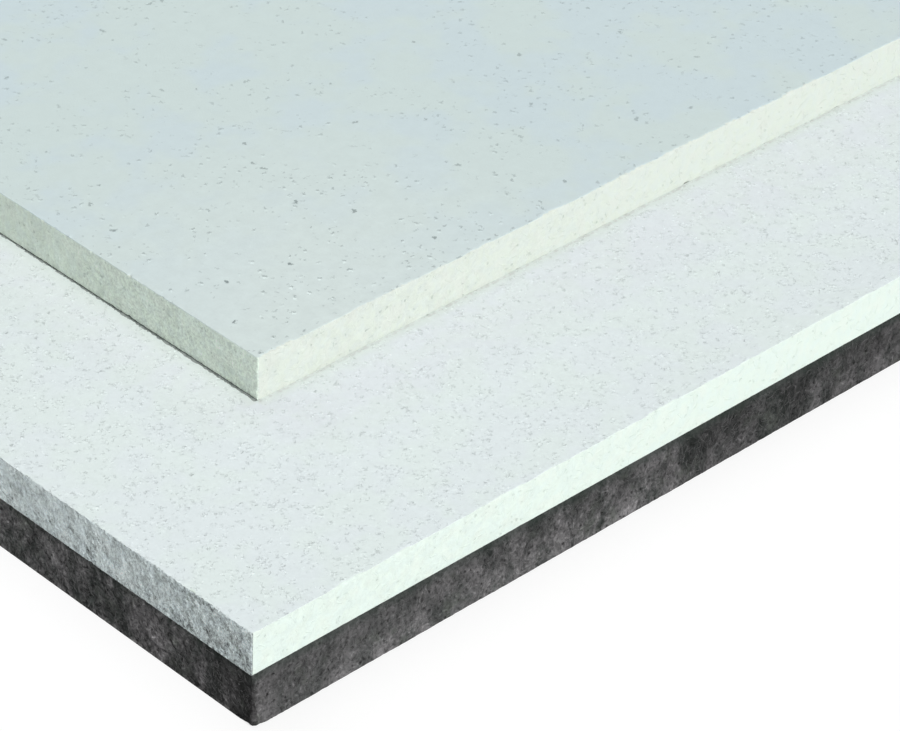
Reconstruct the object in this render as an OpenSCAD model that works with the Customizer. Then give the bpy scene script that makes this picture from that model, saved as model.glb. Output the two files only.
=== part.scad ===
// Gypsum fibre floor element on a felt backing.
// Two boards of the same size are bonded face to face, one shifted lengthways and sideways.
// That leaves a ledge along one end and one side, and an overhang along the other two,
// so that neighbouring elements lap over each other and glue together.
// Millimetres. X runs along the boards, Y across them and Z up through the layers.
// The origin is the middle of the whole footprint, on the underside of the felt.

/* [Boards] */
// Length of each gypsum fibre board
board_length = 1500; // [600:50:2500]
// Width of each gypsum fibre board
board_width = 500; // [300:25:1250]
// Thickness of each gypsum fibre board
board_thickness = 10; // [8:0.5:18]

/* [Stepped edge] */
// Width of the ledge and of the overhang at the ends
end_rebate = 50; // [30:1:80]
// Width of the ledge and of the overhang along the sides
side_rebate = 54; // [30:1:80]
// Depth ground off the ledge and off the overhang, which leaves room for the joint adhesive
grinding = 0.15; // [0.05:0.05:0.5]

/* [Felt backing] */
// Thickness of the felt
felt_thickness = 12; // [5:1:20]
// Radius of the felt's upright corners
felt_corner_r = 0.5; // [0.5:0.25:5]

/* [Hidden] */
$fn = 48;
// How far a cutting shape runs past the edge that it cuts
past = 5;

// Least corner of the felt and the lower board, and of the upper board, seen from above
lower_corner = [-(board_length + end_rebate) / 2, -(board_width + side_rebate) / 2];
upper_corner = lower_corner + [end_rebate, side_rebate];
bond_z = felt_thickness + board_thickness;

felt_colour = [0.30, 0.30, 0.30];
lower_colour = [0.88, 0.92, 0.91];
upper_colour = [0.80, 0.86, 0.85];

// One sawn board with its least corner at the origin
module board() {
    cube([board_length, board_width, board_thickness]);
}

// The two strips that the grinder takes off a rebate: one across an end and one along a side.
// They meet in a corner at the origin, and run along +X and +Y from it.
module ground_strips() {
    translate([-past, -past, -grinding])
        cube([end_rebate + past, board_width + 2 * past, 2 * grinding]);
    translate([-past, -past, -grinding])
        cube([board_length + 2 * past, side_rebate + past, 2 * grinding]);
}

// A rectangle with round corners and its least corner at the origin
module rounded_rectangle(length, width, r) {
    translate([r, 0])
        square([length - 2 * r, width]);
    translate([0, r])
        square([length, width - 2 * r]);
    for (x = [r, length - r], y = [r, width - r])
        translate([x, y])
            circle(r = r);
}

// Needled felt that damps footfall sound, flush with the lower board on every side
module felt_backing() {
    color(felt_colour)
        translate([lower_corner.x, lower_corner.y, 0])
            linear_extrude(height = felt_thickness)
                rounded_rectangle(board_length, board_width, felt_corner_r);
}

// The board that stands out as the ledge at -X and -Y
module lower_board() {
    color(lower_colour)
        difference() {
            translate([lower_corner.x, lower_corner.y, felt_thickness])
                board();
            translate([lower_corner.x, lower_corner.y, bond_z])
                ground_strips();
        }
}

// The walking board, which overhangs at +X and +Y
module upper_board() {
    color(upper_colour)
        difference() {
            translate([upper_corner.x, upper_corner.y, bond_z])
                board();
            translate([upper_corner.x + board_length, upper_corner.y + board_width, bond_z])
                rotate([0, 0, 180])
                    ground_strips();
        }
}

felt_backing();
lower_board();
upper_board();
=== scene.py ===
"""Looks of a gypsum fibre floor element: two bonded boards, shifted into a stepped edge, on felt."""

import bmesh
import bpy
from math import cos, pi, radians, sin
from mathutils import Euler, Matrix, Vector, noise
from random import Random


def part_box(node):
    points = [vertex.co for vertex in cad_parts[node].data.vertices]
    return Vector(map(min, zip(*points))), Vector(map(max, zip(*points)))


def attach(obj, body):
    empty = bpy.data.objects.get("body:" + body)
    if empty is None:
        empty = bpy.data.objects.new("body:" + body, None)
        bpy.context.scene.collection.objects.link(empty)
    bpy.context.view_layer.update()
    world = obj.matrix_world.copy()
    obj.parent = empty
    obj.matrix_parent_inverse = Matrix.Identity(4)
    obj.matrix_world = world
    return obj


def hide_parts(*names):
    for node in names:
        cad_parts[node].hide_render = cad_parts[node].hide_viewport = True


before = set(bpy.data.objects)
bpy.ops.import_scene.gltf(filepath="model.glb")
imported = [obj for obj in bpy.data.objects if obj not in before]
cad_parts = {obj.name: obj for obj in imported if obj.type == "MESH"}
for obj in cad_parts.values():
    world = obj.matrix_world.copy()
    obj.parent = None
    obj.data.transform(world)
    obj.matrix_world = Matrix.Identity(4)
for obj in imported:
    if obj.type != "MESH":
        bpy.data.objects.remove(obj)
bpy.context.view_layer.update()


# ---- Lower board -------------------------------------------------------------------------
# A gypsum fibre board: gypsum and paper fibre pressed into a hard white sheet, then sawn to
# size. It stands out at -X and -Y as the ledge, whose face is ground to take the adhesive.
# Its end is a coarse cross cut and its side a clean rip cut.
MM = 0.001
# Points nearer to each other than this are one point
TOUCHING = 1e-6
# Only the flat faces of a lid are larger than this, in square metres
LID_AREA = 1e-4


def cut(bm, parts, axis, place):
    """Slices these parts of a mesh square to an axis."""
    across = Vector((axis == 0, axis == 1, axis == 2))
    bmesh.ops.bisect_plane(bm, geom=parts, dist=TOUCHING, plane_co=across * place, plane_no=across)


def slab(low, high, near, pitch, far_pitch, rims, far_rows):
    """A block from low to high, as four finely divided walls with a lid above and below.

    The walls are divided at pitch within near (x, y) of the front corner. Elsewhere they are
    divided at far_pitch along them, and into far_rows up them. rims are the distances from each
    arris at which an extra row runs along it.
    """
    bm = bmesh.new()
    bmesh.ops.create_cube(bm, size=1)
    bmesh.ops.scale(bm, vec=high - low, verts=bm.verts)
    bmesh.ops.translate(bm, vec=(low + high) / 2, verts=bm.verts)

    def cut_all(axis, place):
        cut(bm, [*bm.verts, *bm.edges, *bm.faces], axis, place)

    for rim in rims:
        for axis in range(3):
            cut_all(axis, low[axis] + rim)
            cut_all(axis, high[axis] - rim)
    middles = [
        face
        for face in bm.faces
        if abs(face.normal.z) > 0.5 and min(edge.calc_length() for edge in face.edges) > 2 * rims[-1]
    ]
    bmesh.ops.delete(bm, geom=middles, context="FACES")
    cut_all(0, low.x + near.x)
    cut_all(1, low.y + near.y)

    def rise(edge):
        return abs(edge.verts[0].co.z - edge.verts[1].co.z)

    def is_near(edge):
        middle = (edge.verts[0].co + edge.verts[1].co) / 2 - low
        return middle.x < near.x + TOUCHING and middle.y < near.y + TOUCHING

    def divide(edges, step, far_step):
        groups = {}
        for edge in edges:
            cuts = round(edge.calc_length() / (step if is_near(edge) else far_step)) - 1
            if cuts > 0:
                groups.setdefault(cuts, []).append(edge)
        for cuts, alike in groups.items():
            bmesh.ops.subdivide_edges(bm, edges=alike, cuts=cuts, use_grid_fill=True)

    wall = high.z - low.z - 2 * rims[-1]
    divide([edge for edge in bm.edges if rise(edge) < TOUCHING], pitch, far_pitch)
    divide([edge for edge in bm.edges if rise(edge) > wall / 2], pitch, wall / far_rows)
    for lid_z in (low.z, high.z):
        open_edges = [edge for edge in bm.edges if edge.is_boundary]
        hole = [edge for edge in open_edges if abs(edge.verts[0].co.z - lid_z) < TOUCHING]
        bmesh.ops.edgeloop_fill(bm, edges=hole)
    bmesh.ops.recalc_face_normals(bm, faces=bm.faces)
    return bm


def wear(bm, low, high, radius_at, relief_at):
    """Rounds every arris to radius_at(place) and moves the walls out by relief_at(place, outward).

    The walls move only level, so nothing sinks below the floor.
    """
    for vert in bm.verts:
        place = vert.co
        radius = radius_at(place)
        inner = Vector(min(max(place[axis], low[axis] + radius), high[axis] - radius) for axis in range(3))
        outward = (place - inner).normalized()
        level = Vector((outward.x, outward.y, 0))
        vert.co = inner + outward * radius + level * (level.length * relief_at(place, outward))


def lumps(place, size):
    """Smooth noise, at most from -1 to 1, whose lumps are about size across."""
    return noise.noise(place / size)


def crumble(place, plain, grain, bite):
    """Radius of a sawn gypsum arris: plain, roughened by its grain, and bitten here and there."""
    rough = lumps(place, 0.5 * MM) + 0.7 * lumps(place, 1.3 * MM)
    bitten = max(0, lumps(place, 2.3 * MM) - 0.2) + max(0, lumps(place, 0.9 * MM) - 0.2)
    often = 0.5 + 3 * max(0, lumps(place, 6 * MM))
    least, greatest = 0.05 * MM, 0.95 * MM
    return min(max(plain + grain * rough + bite * bitten * often, least), greatest)


def lids_at(bm, lid_z):
    """The flat faces of a board's lid, which is at this height."""
    level = [face for face in bm.faces if abs(face.calc_center_bounds().z - lid_z) < TOUCHING]
    return [face for face in level if face.calc_area() > LID_AREA]


def raise_bond(bm, lid_z, rise, bond_low, bond_high):
    """Splits the bonded area off a board's lid and lifts it by rise, so the rest lies back as ground."""
    for axis in range(2):
        for place in (bond_low[axis], bond_high[axis]):
            lids = lids_at(bm, lid_z)
            parts = dict.fromkeys(part for lid in lids for part in (lid, *lid.edges, *lid.verts))
            cut(bm, list(parts), axis, place)
    middle = (bond_low + bond_high) / 2
    bonded = min(lids_at(bm, lid_z), key=lambda lid: (lid.calc_center_bounds().xy - middle.xy).length)
    lifted = bmesh.ops.extrude_face_region(bm, geom=[bonded])["geom"]
    corners = [part for part in lifted if isinstance(part, bmesh.types.BMVert)]
    bmesh.ops.translate(bm, vec=(0, 0, rise), verts=corners)
    bmesh.ops.delete(bm, geom=[bonded], context="FACES_ONLY")


low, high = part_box("lower_board")
above_low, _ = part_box("upper_board")
grinding = 0.15 * MM
bond_inset = Vector((4 * MM, 0.9 * MM, 0))
bond_low = Vector((above_low.x, above_low.y, high.z)) + bond_inset
bond_high = high - bond_inset

# The walls are finely divided this far from the front corner, along the side and the end
near = Vector((0.175, 0.075, 0))
board_pitch, board_far_pitch, far_rows = 0.25 * MM, 4 * MM, 4
board_rims = (0.12 * MM, 0.27 * MM, 0.45 * MM, 0.7 * MM, 1.0 * MM)
ledge_top = Vector((high.x, high.y, high.z - grinding))
lower = slab(low, ledge_top, near, board_pitch, board_far_pitch, board_rims, far_rows)


def lower_radius(place):
    """The end's top arris is crumbled and the side's worn in waves. The front one has a notch."""
    if (place.xy - low.xy).length < 1.5 * MM:
        notch_z = low.z + 5.2 * MM
        notch = 0.35 * MM * max(0, 1 - abs(place.z - notch_z) / (0.7 * MM))
        blunt = 0.35 * MM if place.z > low.z + 5.5 * MM else 0.14 * MM
        return crumble(place, blunt, 0.15 * MM, 0.6 * MM) + notch
    if place.z > (low.z + high.z) / 2:
        if place.x < low.x + MM:
            return crumble(place, 0.20 * MM, 0.40 * MM, 1.3 * MM)
        by_corner = max(0, 1 - (place.x - low.x) / (60 * MM))
        wave = (0.5 + 1.1 * by_corner) * lumps(place, 7 * MM) + 0.35 * lumps(place, 2.5 * MM)
        return crumble(place, (0.26 + wave) * MM, 0.10 * MM, 0.4 * MM)
    if place.x < low.x + MM:
        return crumble(place, 0.12 * MM, 0.12 * MM, 0.5 * MM)
    return crumble(place, 0.12 * MM, 0.04 * MM, 0.12 * MM)


# The way that the saw's teeth went, steeply up the end
saw_stroke = Vector((0, 0.545, 0.839))


def saw_tear(place, outward):
    """The cross cut tears the end: ripples along the saw's stroke, pitted crumbs, wide swells."""
    on_end = abs(outward.x)
    along = place.dot(saw_stroke)
    across = place.y * saw_stroke.z - place.z * saw_stroke.y
    ripple = noise.noise(Vector((across / (0.8 * MM), along / (2.6 * MM), place.x / (3 * MM))))
    crumbs = lumps(place, 0.62 * MM)
    swell = lumps(place, 9 * MM)
    torn = 0.08 * ripple + 0.10 * crumbs + 0.05 * swell
    return (torn * on_end + (0.015 * crumbs + 0.03 * swell) * (1 - on_end) - 0.04) * MM


wear(lower, low, ledge_top, lower_radius, saw_tear)
raise_bond(lower, ledge_top.z, grinding, bond_low, bond_high)


class Wire:
    """A socket in a finish's node tree. Plain maths on wires adds Math nodes to the tree.

    Wire(tree), with no socket, is where a finish starts: its node() makes the first nodes.
    """

    def __init__(self, tree, socket=None):
        self.tree = tree
        self.socket = socket

    def node(self, kind, settings, sockets, output=0):
        """Adds a node of any kind, with its settings and its sockets' values or wires."""
        made = self.tree.nodes.new(kind)
        for setting, value in settings.items():
            setattr(made, setting, value)
        for key, value in sockets.items():
            if isinstance(value, Wire):
                self.tree.links.new(value.socket, made.inputs[key])
            else:
                made.inputs[key].default_value = value
        return Wire(self.tree, made.outputs[output])

    def beside(self, output):
        """Another output of the node that this wire comes from."""
        return Wire(self.tree, self.socket.node.outputs[output])

    def feed(self, node, key):
        """Joins this wire to a socket of a node that is already in the tree."""
        self.tree.links.new(self.socket, self.tree.nodes[node].inputs[key])

    def maths(self, operation, *values):
        return self.node("ShaderNodeMath", {"operation": operation}, dict(enumerate(values)))

    def vector(self, operation, *values):
        return self.node("ShaderNodeVectorMath", {"operation": operation}, dict(enumerate(values)))

    def __add__(self, other):
        return self.maths("ADD", self, other)

    def __mul__(self, other):
        return self.maths("MULTIPLY", self, other)

    def __sub__(self, other):
        return self.maths("SUBTRACT", self, other)

    def __rsub__(self, other):
        return self.maths("SUBTRACT", other, self)

    def __truediv__(self, other):
        return self.maths("DIVIDE", self, other)

    def __pow__(self, other):
        return self.maths("POWER", self, other)

    def __abs__(self):
        return self.maths("ABSOLUTE", self)

    __radd__ = __add__
    __rmul__ = __mul__

    def ramp(self, start, stop):
        """Rises smoothly from 0 at start to 1 at stop, or falls where start is the greater."""
        sockets = {"Value": self, "From Min": min(start, stop), "From Max": max(start, stop)}
        if start > stop:
            sockets.update({"To Min": 1, "To Max": 0})
        return self.node("ShaderNodeMapRange", {"interpolation_type": "SMOOTHSTEP"}, sockets)

    def mix(self, off, on):
        """The colour off where this mask is 0, and on where it is 1."""
        return self.node("ShaderNodeMix", {"data_type": "RGBA"}, {0: self, 6: off, 7: on}, 2)

    def scaled(self, factor):
        """This colour or vector, brightened or stretched by a number."""
        return self.node("ShaderNodeVectorMath", {"operation": "SCALE"}, {0: self, 3: factor})

    def parts(self):
        """The three numbers in this vector or colour, each on a wire of its own."""
        first = self.node("ShaderNodeSeparateXYZ", {}, {0: self})
        return first, first.beside(1), first.beside(2)

    def distance(self, point):
        """How far this place is from a point."""
        ends = {0: self, 1: point}
        return self.node("ShaderNodeVectorMath", {"operation": "DISTANCE"}, ends, "Value")

    def grain(self, size, detail=2, roughness=0.5, curl=0):
        """Soft noise from 0 to 1 whose lumps are about size across, at this place."""
        sockets = {"Vector": self, "Scale": 1 / size, "Detail": detail, "Roughness": roughness}
        sockets["Distortion"] = curl
        return self.node("ShaderNodeTexNoise", {}, sockets)

    def flecks(self, spacing, length, width, share):
        """Mask of short bent fibres at random in a plane: one to each spacing, a share of them shown.

        The first 0.3 of the share are faint and the rest are full.
        """
        sockets = {"Vector": self, "Scale": 1 / spacing}
        cell = self.node("ShaderNodeTexVoronoi", {"voronoi_dimensions": "2D"}, sockets, "Position")
        turn, size, chance = cell.beside("Color").parts()
        away = self.vector("SUBTRACT", self, cell)
        turned = {"Vector": away, "Angle": pi - turn * (2 * pi)}
        away = self.node("ShaderNodeVectorRotate", {"rotation_type": "Z_AXIS"}, turned)
        along, across, _ = away.parts()
        reach = size * length * 0.35 + length * 0.15
        run = along / reach
        bend = (size - 0.6) * reach * 1.5
        off_line = across + bend * run * run
        ellipse = run**2 + (off_line * (2 / width)) ** 2
        return ellipse.ramp(1.2, 0.2) * (share - chance).ramp(0, 0.3)


def plane(across, up):
    """A place in a flat face, from its two distances."""
    return across.node("ShaderNodeCombineXYZ", {}, {"X": across, "Y": up})


def ragged(place, flat):
    """Places in a flat face, jostled so that the flecks drawn from them have uneven outlines."""
    jostle = place.grain(0.5 * MM, 1).beside("Color")
    jostle = jostle.vector("SUBTRACT", jostle, (0.5, 0.5, 0.5))
    return flat.vector("ADD", flat, jostle.scaled(1.3 * MM))


def started(name):
    """A new material, and the place on the object that its finish is drawn from."""
    material = bpy.data.materials.new(name)
    material.use_nodes = True
    material.node_tree.nodes.remove(material.node_tree.nodes["Principled BSDF"])
    start = Wire(material.node_tree)
    return material, start.node("ShaderNodeTexCoord", {}, {}, "Object")


def coat(colour, height, roughness, specular):
    """A shader with this colour, and with a relief whose height is in metres."""
    bump = colour.node("ShaderNodeBump", {}, {"Height": height, "Distance": 1.0})
    sockets = {"Base Color": colour, "Roughness": roughness, "Specular IOR Level": specular, "Normal": bump}
    return colour.node("ShaderNodeBsdfPrincipled", {}, sockets)


def rgb(red, green, blue):
    return (red, green, blue, 1)


WHITE = rgb(1, 1, 1)


def face_over(core, face, on_face):
    """Finishes a board with the face's shader where on_face is 1, and with the core's elsewhere."""
    mixed = on_face.node("ShaderNodeMixShader", {}, {0: on_face, 1: core, 2: face})
    mixed.feed("Material Output", "Surface")


def gypsum_core(place, low, high, plain, cool, warm, end_tint_and_light, tearing, foot):
    """The sawn core's finish, as it shows on the walls and in the bites out of an arris.

    The core is plain, with cool and warm patches. end_tint_and_light is what the ends' colour is multiplied
    by: a tint, and on the upper board painted light that brightens its shaded end. tearing is how
    badly the cross cut tore them, and foot how dark their lowest 0.2 mm is, as painted shade above
    the joint, each as a share of the worst.
    """
    x, y, z = place.parts()
    wall = plane(x + y, z)
    half = (high.x - low.x) / 2
    at_end = abs(x - (low.x + high.x) / 2).ramp(half - 0.35 * MM, half - 0.25 * MM)
    clumps = place.grain(3.2 * MM, 3, 0.75)
    crowd = clumps.ramp(0.40, 0.62)

    # The marks are boldest near the front corner, and the tearing is worst there and low down
    front = (low.x, low.y, (low.z + high.z) / 2)
    close = place.distance(front).ramp(0.14, 0.04) * 0.75 + 0.25
    coarse = y.ramp(low.y + 75 * MM, low.y + 30 * MM) * 0.62 + 0.22
    low_down = z.ramp(high.z - 3 * MM, low.z + 2 * MM)
    broken = y.ramp(low.y + 40 * MM, low.y + 8 * MM) * 0.5 + low_down * 0.3
    broken = at_end * tearing * (broken + crowd * 0.5 + 0.5)

    # Torn strokes along the blade's path, crumbs, and fibres lying in the face
    slant = {"Vector": place, "Rotation": (radians(-33), 0, 0), "Scale": (1, 1, 2.0)}
    stroke = place.node("ShaderNodeMapping", {"vector_type": "TEXTURE"}, slant)
    torn = stroke.grain(1.3 * MM, 3, 0.85, 0.8)
    crumbs = place.grain(0.60 * MM, 3, 0.75)
    pits = wall.flecks(1.5 * MM, 1.0 * MM, 0.60 * MM, crowd * 0.5 - 0.05)
    dark_fibres = wall.flecks(2.2 * MM, 2.0 * MM, 0.46 * MM, crowd * 0.6 - 0.02)
    pale_fibres = wall.flecks(2.6 * MM, 4.0 * MM, 0.44 * MM, 0.95 - crowd * 0.3)
    dark_blotches = wall.flecks(5 * MM, 3.2 * MM, 1.8 * MM, 0.75) * crumbs.ramp(0.44, 0.58) * at_end
    swirls = place.grain(1.9 * MM, 3, 0.75, 1.4)
    curls = abs(swirls - 0.5).ramp(0.04, 0.01) * clumps.ramp(0.46, 0.56)

    tint = place.grain(2.4 * MM, 2).ramp(0.42, 0.58).mix(cool, plain)
    tint = place.grain(4 * MM, 2).ramp(0.48, 0.68).mix(tint, warm)
    # The ends take their own tint, and on the upper board painted light on its shaded end
    tint = tint.vector("MULTIPLY", tint, at_end.mix(WHITE, end_tint_and_light))
    # The walls' tone varies with crumbs, clumps, swirls and fibres; raised crumbs and the torn strokes'
    # ridges are also painted lighter and their hollows darker, as painted light and shade of the relief,
    # most on the torn end
    tone_and_relief_shade = (crumbs - 0.5) * (broken * 1.06 + close * (at_end * coarse + 0.12))
    tone_and_relief_shade = tone_and_relief_shade + (0.5 - clumps) * (broken * 0.35 + at_end * 0.10 + close * 0.10)
    tone_and_relief_shade = tone_and_relief_shade + (torn.ramp(0.50, 0.66) * 0.22 - torn.ramp(0.49, 0.34) * 0.28) * broken
    swirled = swirls.ramp(0.52, 0.68) - swirls.ramp(0.48, 0.34)
    tone_and_relief_shade = tone_and_relief_shade + swirled * (at_end * 0.04 + 0.04) * close
    tone_and_relief_shade = tone_and_relief_shade + (pale_fibres - curls) * (at_end * (tearing * 0.10 + 0.01) + 0.06) * close
    # The torn end is painted darker near the front corner, and most at its foot there: painted shade of its
    # deeper tearing
    tone_and_relief_shade = tone_and_relief_shade - at_end * tearing * close * 0.07
    torn_corner_shade = low_down * at_end * tearing * y.ramp(low.y + 28 * MM, low.y + 2 * MM)
    tint = tint.scaled(1 + tone_and_relief_shade - torn_corner_shade * 0.22)
    # The pits are painted darker, as the shade in them; the dark fibres and blotches are drawn in too
    shade = pits * (broken * 0.30 + 0.30) + dark_fibres * 0.30 + dark_blotches * 0.36
    shade = shade * close * (at_end * tearing * 0.45 + 1 - tearing * 0.45)
    tint = shade.mix(tint, rgb(0.30, 0.37, 0.33))
    # Painted shade: the ends' lowest 0.2 mm is darkened, as the shade above the joint
    ragged_z = z + clumps * (0.4 * MM)
    painted_foot_shade = ragged_z.ramp(low.z + 0.36 * MM, low.z + 0.20 * MM) * at_end * foot
    tint = painted_foot_shade.mix(tint, rgb(0.10, 0.125, 0.11))

    height = torn * (broken * 600e-6) + crumbs * (broken * 520e-6 + close * 115e-6)
    height = height + pale_fibres * 80e-6 - pits * 120e-6
    return coat(tint, height, 0.9, 0.25)


lower_finish, place = started("ground_gypsum_fibre")
core = gypsum_core(
    place,
    low,
    high,
    plain=rgb(0.815, 0.925, 0.850),
    cool=rgb(0.808, 0.922, 0.862),
    warm=rgb(0.828, 0.925, 0.850),
    end_tint_and_light=rgb(0.978, 0.970, 1.055),
    tearing=1,
    foot=0,
)
x, y, z = place.parts()
flat = ragged(place, plane(x, y))

# Sanded grain in crowds of pits, each with a pale crest beside it, and a few nicks and fibres. The pits and
# nicks are painted darker as the shade in them, the crest beside each pit is a painted highlight, and the
# sanded grain's tone is partly painted relief shading
crowd = place.grain(2.8 * MM, 3, 0.75).ramp(0.46, 0.60)
sanded = place.grain(0.60 * MM, 3, 0.75)
mottle = place.grain(1.5 * MM, 3, 0.7)
pits = flat.flecks(0.95 * MM, 0.60 * MM, 0.56 * MM, crowd + 0.02)
nicks = flat.flecks(2.6 * MM, 1.1 * MM, 0.66 * MM, crowd * 0.4 + 0.35)
fibres = flat.flecks(5 * MM, 4 * MM, 0.36 * MM, 0.6)
curls = flat.flecks(3.4 * MM, 3.0 * MM, 0.34 * MM, crowd * 0.8 + 0.1)
beside_pits = flat.vector("ADD", flat, (0.36 * MM, 0.28 * MM, 0))
crest_highlights = beside_pits.flecks(0.95 * MM, 0.50 * MM, 0.50 * MM, crowd + 0.02)

# How far in a place is from the upper board's end and from its side, below 0 on the ledges
past_end = x - above_low.x
past_side = y - above_low.y
along_side = past_end.ramp(-12 * MM, 6 * MM)
along_end = past_side.ramp(-12 * MM, 6 * MM)
by_side = past_side.ramp(-26 * MM, -6 * MM) * along_side
by_end = past_end.ramp(-20 * MM, -5 * MM) * along_end
# Bands out on the ledges and strips at the foot of the step, where the ground is painted darker as painted
# shade, to offset the light that the upper board's walls throw onto it
side_bounce_shade = past_side.ramp(-28 * MM, -14 * MM) * past_side.ramp(-4 * MM, -11 * MM) * along_side
end_bounce_shade = past_end.ramp(-28 * MM, -10 * MM) * past_end.ramp(-1.5 * MM, -6 * MM) * along_end
side_foot_shade = past_side.ramp(-3.5 * MM, -0.4 * MM) * past_end.ramp(-1.0 * MM, 0.3 * MM)
end_foot_shade = past_end.ramp(-5 * MM, -0.8 * MM) * past_side.ramp(-1.0 * MM, 0.3 * MM)

ground = place.grain(9 * MM, 2).ramp(0.38, 0.62)
ground = ground.mix(rgb(0.82, 0.897, 0.908), rgb(0.82, 0.909, 0.892))
ground = ground.vector("MULTIPLY", ground, by_side.mix(WHITE, rgb(0.995, 0.970, 0.992)))
ground = ground.vector("MULTIPLY", ground, by_end.mix(WHITE, rgb(0.995, 0.976, 0.982)))
# Painted shade: darker, less blue strips at the foot of the step, and darker bands further out
ground = side_foot_shade.maths("MAXIMUM", side_foot_shade, end_foot_shade).mix(ground, rgb(0.80, 0.86, 0.84))
paler = 1.010 - (side_bounce_shade + end_bounce_shade) * 0.036 - x.ramp(low.x + 40 * MM, low.x + 170 * MM) * 0.033
paler = paler - y.ramp(low.y + 50 * MM, low.y + 110 * MM) * 0.022
# The pale crest beside each pit is a painted highlight
paler = paler + crest_highlights * 0.20 + curls * 0.06
paler = paler + (sanded - 0.5) * (crowd * 0.42 + 0.07) + (mottle - 0.5) * 0.13
ground = ground.scaled(paler)
# Pits and nicks painted darker: painted shade
ground = (pits * 0.17 + nicks * 0.15 + fibres * 0.04).mix(ground, rgb(0.34, 0.40, 0.37))

# A broken brown stain along the foot of the upper board's side, and painted shade in and before the open
# joint at its end
patchy = place.grain(1.2 * MM, 3, 0.7).ramp(0.40, 0.62)
stain = (past_side + patchy * (0.3 * MM)).ramp(-0.9 * MM, -0.35 * MM)
stain = stain * past_end.ramp(-0.3 * MM, 0.3 * MM)
ground = (stain * (patchy * 0.26 + 0.02)).mix(ground, rgb(0.40, 0.34, 0.33))
# Painted shade: the ledge under and just before the end's open joint is painted nearly black
thinner = y.ramp(low.y + 60 * MM, low.y + 120 * MM) * (0.2 * MM)
gap_shade = (past_end + patchy * (0.35 * MM) - thinner).ramp(-0.43 * MM, -0.30 * MM)
gap_shade = gap_shade * past_side.ramp(0, 0.2 * MM)
ground = (gap_shade * (0.88 - patchy * 0.28)).mix(ground, rgb(0.06, 0.08, 0.07))

ground_height = sanded * 40e-6 - pits * 60e-6 - nicks * 100e-6 + crest_highlights * 40e-6
on_ledge = z.ramp(ledge_top.z - 0.07 * MM, ledge_top.z - 0.005 * MM)
face_over(core, coat(ground, ground_height, 0.9, 0.25), on_ledge)


def shown(bm, name, finish, node):
    """Turns a bmesh into the piece that stands for a CAD node, with flat lids and smooth walls."""
    for face in bm.faces:
        face.smooth = len(face.verts) < 5 and face.calc_area() < LID_AREA
    mesh = bpy.data.meshes.new(name)
    bm.to_mesh(mesh)
    bm.free()
    mesh.materials.append(finish)
    piece = bpy.data.objects.new(name, mesh)
    bpy.context.scene.collection.objects.link(piece)
    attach(piece, "root")
    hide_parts(node)


shown(lower, "lower_board_sawn", lower_finish, "lower_board")


# ---- Upper board -------------------------------------------------------------------------
# The same board, from a sheet whose face was sealed at the works: a smooth cool grey skin with
# short paper fibres in it. It carries the floor covering, and overhangs at +X and +Y. The joint
# below it is an open hairline at the end, and shut along the side.
low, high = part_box("upper_board")
opened = 0.05 * MM
joint_low = Vector((low.x, low.y, low.z + opened))
upper = slab(joint_low, high, near, board_pitch, board_far_pitch, board_rims, far_rows)


def upper_radius(place):
    """The top arrises are worn and crumbled, the end's foot is bitten and the side's is sharp."""
    if place.z > (low.z + high.z) / 2:
        blunt = 0.38 if (place.xy - low.xy).length < 1 * MM else 0.22
        if place.x < low.x + MM:
            return crumble(place, blunt * MM, 0.40 * MM, 1.0 * MM)
        wave = 0.9 * lumps(place, 6 * MM)
        return crumble(place, (blunt + 0.08 + wave) * MM, 0.30 * MM, 1.2 * MM)
    if place.x < low.x + MM:
        return crumble(place, 0.05 * MM, 0.20 * MM, 1.2 * MM)
    return crumble(place, 0, 0.03 * MM, 0.5 * MM)


def rip_tear(place, outward):
    """A cleaner cut than the lower board's end: fine crumbs and a slight swell on every wall."""
    return (0.025 * lumps(place, 0.62 * MM) + 0.03 * lumps(place, 9 * MM) - 0.02) * MM


wear(upper, joint_low, high, upper_radius, rip_tear)

# The foot of the side's wall is drawn down until it just sinks into the ledge
sink = opened + grinding + 0.12 * MM
for vert in upper.verts:
    if vert.co.y < low.y + 0.8 * MM:
        foot = max(0, 1 - (vert.co.z - joint_low.z) / (1.5 * MM))
        past_corner = min(1, max(0, (vert.co.x - low.x) / (0.3 * MM)))
        vert.co.z -= sink * foot * past_corner
raise_bond(upper, joint_low.z, -opened, bond_low, bond_high)

upper_finish, place = started("sealed_gypsum_fibre")
core = gypsum_core(
    place,
    low,
    high,
    plain=rgb(0.757, 0.808, 0.731),
    cool=rgb(0.752, 0.804, 0.748),
    warm=rgb(0.764, 0.804, 0.738),
    # Brighter than the side: painted light on the shaded end
    end_tint_and_light=rgb(1.083, 1.134, 1.108),
    tearing=0.08,
    # A little painted shade at the end's foot, above the joint
    foot=0.10,
)
x, y, z = place.parts()
flat = ragged(place, plane(x, y))
worn = place.distance((low.x + 20 * MM, low.y, high.z)).ramp(0.10, -0.01)

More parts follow.
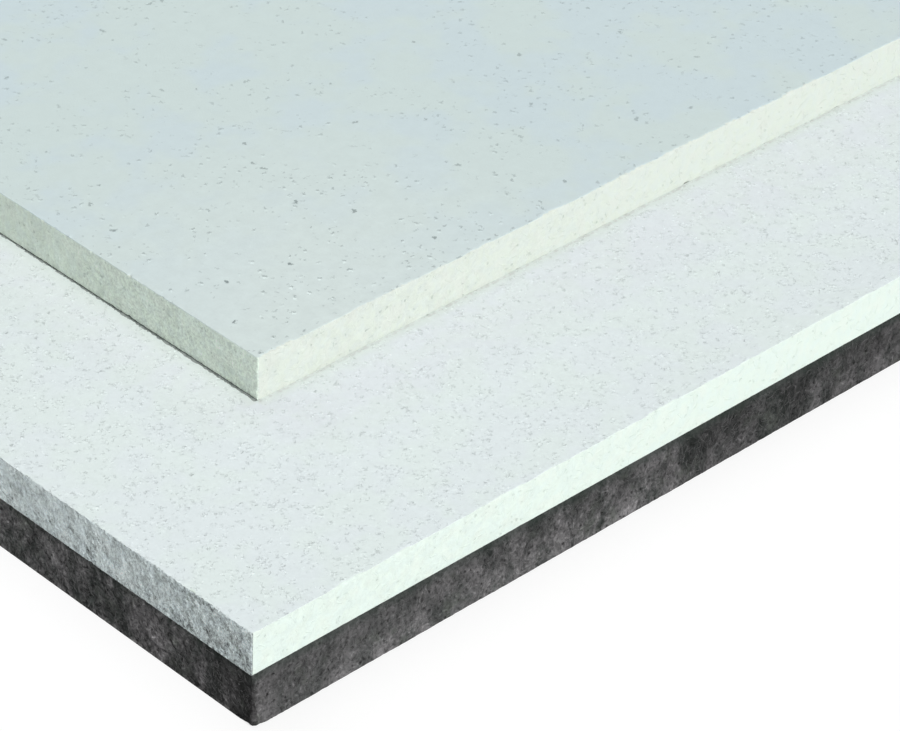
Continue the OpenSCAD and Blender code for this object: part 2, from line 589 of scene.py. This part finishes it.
# Paper fibres and specks under the seal, thicker in crowds, and the lit rims of the larger ones
crowd = place.grain(9 * MM, 2).ramp(0.38, 0.64)
at_arris = y.ramp(low.y + 3.5 * MM, low.y + 1 * MM) * 0.4
dots = flat.flecks(1.7 * MM, 0.9 * MM, 0.52 * MM, crowd * 0.45 + 0.12)
specks = flat.flecks(3.2 * MM, 1.6 * MM, 0.58 * MM, crowd * 0.6 + 0.15 + at_arris)
fibres = flat.flecks(6.5 * MM, 2.8 * MM, 0.50 * MM, crowd * 0.5 + 0.25)
marks = flat.flecks(13 * MM, 2.0 * MM, 0.90 * MM, 0.60)
beside_specks = flat.vector("ADD", flat, (0.40 * MM, 0.50 * MM, 0))
crest_highlights = beside_specks.flecks(3.2 * MM, 1.4 * MM, 0.60 * MM, crowd * 0.6 + 0.15)
haze = place.grain(4 * MM, 4, 0.8)

skin = place.grain(22 * MM, 3, 0.6).ramp(0.42, 0.58)
skin = skin.mix(rgb(0.645, 0.759, 0.787), rgb(0.662, 0.771, 0.757))
skin = worn.mix(skin, rgb(0.722, 0.815, 0.797))
skin = skin.scaled(1 + crest_highlights * (worn * 0.18 + 0.04) + (haze - 0.5) * (worn * 0.17 + 0.10))
shade = dots * 0.30 + specks * 0.42 + fibres * 0.28 + marks * 0.75
skin = (shade * (worn * 0.6 + 0.62)).mix(skin, rgb(0.20, 0.25, 0.25))
skin_height = place.grain(0.45 * MM, 1) * 22e-6 - specks * 70e-6 - marks * 60e-6

# The skin ends where an arris is worn through it, and a little further in along the side
cut_back = y.ramp(low.y + 1.2 * MM, low.y + 0.6 * MM) * (0.12 * MM)
on_skin = (z - cut_back).ramp(high.z - 0.30 * MM, high.z - 0.12 * MM)
face_over(core, coat(skin, skin_height, 0.75, 0.3), on_skin)
shown(upper, "upper_board_sawn", upper_finish, "upper_board")


# ---- Felt backing ------------------------------------------------------------------------
# Needled felt of dark mixed fibre, bonded under the lower board and cut flush with it. Its
# walls are matted and full of small hollows, and bent hairs lie all over them.
low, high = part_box("felt_backing")
felt_rims = (0.3 * MM, 0.6 * MM, 1.0 * MM, 1.6 * MM)
felt_pitch, felt_far_pitch = 0.36 * MM, 5 * MM
felt = slab(low, high, near, felt_pitch, felt_far_pitch, felt_rims, far_rows)


def felt_radius(place):
    """Soft arrises, rounder low down at the front corner."""
    soft = 0.06 * lumps(place, 2.5 * MM) + 0.12 * lumps(place, 0.9 * MM)
    from_tip = (place.xy - low.xy).length / (4 * MM) + (place.z - low.z) / (3 * MM)
    return (0.24 + 0.6 * max(0, 1 - from_tip) + soft) * MM


def matting(place, outward):
    """The hollows between tufts.

    The side bulges towards the floor, the end draws back, and both step in under the board.
    """
    tufts = lumps(place, 1.5 * MM) + 0.7 * lumps(place, 0.75 * MM)
    calm = min(1, 0.25 + (place.z - low.z) / (2.5 * MM))
    swell = lumps(place, 14 * MM)
    depth = (high.z - place.z) / (high.z - low.z)
    tuck = max(0, 1 - (high.z - place.z) / (1.2 * MM))
    lean = abs(outward.y) * (1.12 * depth + 0.1) - abs(outward.x) * 0.25 * depth
    return (0.20 * tufts * calm + 0.08 * swell - 0.22 - 0.30 * tuck + lean) * MM


wear(felt, low, high, felt_radius, matting)

# A straight hair, 1 long and 1 in radius; every hair on the felt is a thin, bent copy of it
hair = bmesh.new()
bmesh.ops.create_cone(hair, cap_ends=True, segments=3, radius1=1, radius2=1, depth=1)
long_edges = [edge for edge in hair.edges if abs(edge.verts[0].co.z - edge.verts[1].co.z) > 0.5]
bmesh.ops.subdivide_edges(hair, edges=long_edges, cuts=5, use_grid_fill=True)
hair_mesh = bpy.data.meshes.new("hair")
hair.to_mesh(hair_mesh)
hair.free()

luck = Random(7)
hair_tone = felt.faces.layers.float.new("hair_tone")
up = Vector((0, 0, 1))


def lay_hair(corner, along, outward, reach):
    """Lays one bent hair on a wall, within reach of the front corner."""
    first_vert, first_face = len(felt.verts), len(felt.faces)
    felt.from_mesh(hair_mesh)
    felt.verts.ensure_lookup_table()
    felt.faces.ensure_lookup_table()
    length = luck.uniform(0.9, 2.8) * MM
    thickness = luck.uniform(0.045, 0.085) * MM
    out = luck.uniform(0.8 * MM, reach - MM)
    height = max(luck.uniform(0.8 * MM, high.z - 1.3 * MM), length / 2 + 0.1 * MM)
    heading = luck.uniform(0, pi)
    bend = luck.uniform(-1.3, 1.3)
    seed = Vector((out, height, bend)) / MM
    for vert in felt.verts[first_vert:]:
        run = vert.co.z
        angle = heading + bend * run + 0.5 * noise.noise(seed + Vector((run * 2, 0, 0)))
        path = Vector((cos(angle), sin(angle))) * run * length
        place = corner + along * (out + path.x) + up * (height + path.y)
        from_middle = (2 * run) ** 2
        taper = 1 - from_middle * 0.5
        lift = matting(place, outward) + (0.05 - 0.16 * from_middle) * MM
        side = vert.co.x * thickness * taper
        place = place + along * (-sin(angle) * side) + up * (cos(angle) * side)
        vert.co = place + outward * (lift + vert.co.y * thickness * taper)
    tone = luck.uniform(0.3, 1)
    for face in felt.faces[first_face:]:
        face[hair_tone] = tone


front_corner = Vector((low.x, low.y, 0))
for along, outward, reach, count in (
    (Vector((1, 0, 0)), Vector((0, -1, 0)), near.x, 1900),
    (Vector((0, 1, 0)), Vector((-1, 0, 0)), near.y, 850),
):
    for _ in range(count):
        lay_hair(front_corner, along, outward, reach)
bpy.data.meshes.remove(hair_mesh)

felt_finish, place = started("needled_felt")
x, y, z = place.parts()
wall = plane(x + y, z)
on_side = x.ramp(low.x + 0.5 * MM, low.x + 1.5 * MM)
on_end = 1 - on_side
near_corner = on_side * x.ramp(low.x + 80 * MM, low.x + 15 * MM)

# Light and dark batches of fibre, from the widest, drawn out upwards, down to wisps and holes. The hollows
# and holes are painted darker as the shade in them, and the tufts lighter and darker as painted light and
# shade, most on the end, which the lamp barely lights
upright = place.vector("MULTIPLY", place, (1, 1, 0.55))
batch = upright.grain(60 * MM, 1)
clumps = upright.grain(9 * MM, 5, 0.82, 0.4).ramp(0.36, 0.64)
blobs = upright.grain(12 * MM, 2, 0.6).ramp(0.38, 0.62) - 0.5
tufts = place.grain(2.2 * MM, 3, 0.75, 1.0)
hollows = place.grain(0.85 * MM, 2, 0.6)
wisps = wall.flecks(1.8 * MM, 2.8 * MM, 0.40 * MM, 0.8)
holes = wall.flecks(1.6 * MM, 1.2 * MM, 0.70 * MM, 0.6)

felt_tint = (clumps - 0.5) * (1 - near_corner * 0.4) + 0.5
felt_tint = felt_tint.mix(rgb(0.034, 0.038, 0.036), rgb(0.150, 0.145, 0.148))
greenish = place.grain(4 * MM, 2).ramp(0.55, 0.75) * 0.7
felt_tint = greenish.mix(felt_tint, rgb(0.080, 0.086, 0.078))
# Painted shade: the hollows and holes are darker; the wisps are pale fibres
matted = hollows.ramp(0.30, 0.55) * 0.50 + 0.57 + wisps * 0.45 - holes * 0.40
felt_tint = felt_tint.scaled(matted * (batch + 0.45))
# Painted light and shade of the tufts, strongest on the end
tuft_light_and_shade = tufts.ramp(0.50, 0.66) * 0.85 - tufts.ramp(0.48, 0.34) * 0.68
felt_tint = felt_tint.scaled(1 + tuft_light_and_shade * (1 - on_side * 0.62))
blobs_on_side = on_side * x.ramp(low.x + 20 * MM, low.x + 90 * MM) * 0.45
felt_tint = felt_tint.scaled(1 + blobs * (on_end * 0.36 + blobs_on_side))

# The side's foot is painted paler, as painted light; the side is darker far along, and the end darkest at
# its corner
foot = z.ramp(low.z + 8 * MM, low.z + 1 * MM) * on_side
beyond = x.ramp(low.x + 100 * MM, low.x + 135 * MM)
end_corner = y.ramp(low.y + 18 * MM, low.y + 4 * MM) * 0.46
end_corner = end_corner - y.ramp(low.y + 22 * MM, low.y + 65 * MM) * 0.26
felt_tint = felt_tint.scaled((foot * 0.45 + 0.95) * (1 - beyond * 0.35) * (1 - end_corner * on_end))
# Painted shade: the felt's top strip, under the board's edge, is darker and greener
shade_under_board = z.ramp(high.z - 2.8 * MM, high.z - 0.4 * MM) * (on_side * 0.35 + 0.25)
felt_tint = shade_under_board.mix(felt_tint, rgb(0.040, 0.052, 0.045))
tone = place.node("ShaderNodeAttribute", {"attribute_name": "hair_tone"}, {}, "Fac")
felt_tint = (tone * 0.8).mix(felt_tint, rgb(0.15, 0.15, 0.15))
felt_height = hollows * 260e-6 + place.grain(0.3 * MM, 1) * 90e-6 - holes * 120e-6
coat(felt_tint, felt_height, 0.95, 0.1).feed("Material Output", "Surface")
shown(felt, "felt_mat", felt_finish, "felt_backing")


# ---- Floor and light ---------------------------------------------------------------------
# A wide white studio floor under an even white surround, with a soft lamp in front of the long
# side and a weaker one high behind it. Floor and surround are white to the camera and greyer
# to the object, so they add little light of their own.
floor_mesh = bpy.data.meshes.new("floor")
bm = bmesh.new()
bmesh.ops.create_grid(bm, x_segments=1, y_segments=1, size=60)
bm.to_mesh(floor_mesh)
bm.free()
floor = bpy.data.objects.new("floor", floor_mesh)
bpy.context.scene.collection.objects.link(floor)


def shown_plainly(start):
    """1 for the rays that look at the surroundings, straight or in a shiny surface; 0 for their light."""
    camera = start.node("ShaderNodeLightPath", {}, {}, "Is Camera Ray")
    seen = camera + camera.beside("Is Glossy Ray") + camera.beside("Is Transmission Ray")
    return seen.maths("MINIMUM", seen, 1)


paper = bpy.data.materials.new("floor_paper")
paper.use_nodes = True
paper.node_tree.nodes.remove(paper.node_tree.nodes["Principled BSDF"])
start = Wire(paper.node_tree)
plain = shown_plainly(start)
matt = start.node("ShaderNodeBsdfDiffuse", {}, {"Color": 0.82 - plain * 0.57})
glow = start.node("ShaderNodeEmission", {}, {"Strength": plain * 0.79})
start.node("ShaderNodeAddShader", {}, {0: matt, 1: glow}).feed("Material Output", "Surface")
floor_mesh.materials.append(paper)

world = bpy.data.worlds.new("surround")
bpy.context.scene.world = world
world.use_nodes = True
plain = shown_plainly(Wire(world.node_tree))
(plain * 0.87 + 0.13).feed("Background", "Strength")
world.node_tree.nodes["Background"].inputs["Color"].default_value = (0.99, 1, 1, 1)

for name, strength, spread, towards in (
    ("long_side_lamp", 0.78, 12, (-0.17, -0.79, 0.59)),
    ("far_side_lamp", 0.34, 60, (0.08, 0.46, 0.88)),
):
    lamp = bpy.data.lights.new(name, "SUN")
    lamp.energy = strength * pi
    lamp.angle = radians(spread)
    holder = bpy.data.objects.new(name, lamp)
    holder.rotation_euler = Vector(towards).to_track_quat("Z", "Y").to_euler()
    bpy.context.scene.collection.objects.link(holder)


# ---- Camera ------------------------------------------------------------------------------
# A long lens close to the front corner, looking down along the diagonal, rolled slightly.
low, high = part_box("upper_board")
aim = Vector((low.x + 26.6 * MM, low.y - 26.3 * MM, high.z))
bearing, height, roll = radians(-45.87), radians(34.58), radians(2.88)
distance = 0.8046
camera = bpy.data.cameras.new("corner_camera")
camera.lens = 165.1
camera.sensor_width = 36
camera.clip_start = 0.05
camera.clip_end = 200
viewer = bpy.data.objects.new("corner_camera", camera)
back = Vector((sin(bearing) * cos(height), -cos(bearing) * cos(height), sin(height)))
viewer.location = aim + back * distance
turn = (-back).to_track_quat("-Z", "Y") @ Euler((0, 0, roll)).to_quaternion()
viewer.rotation_euler = turn.to_euler()
bpy.context.scene.collection.objects.link(viewer)
bpy.context.scene.camera = viewer

bpy.context.scene.view_settings.view_transform = "Standard"
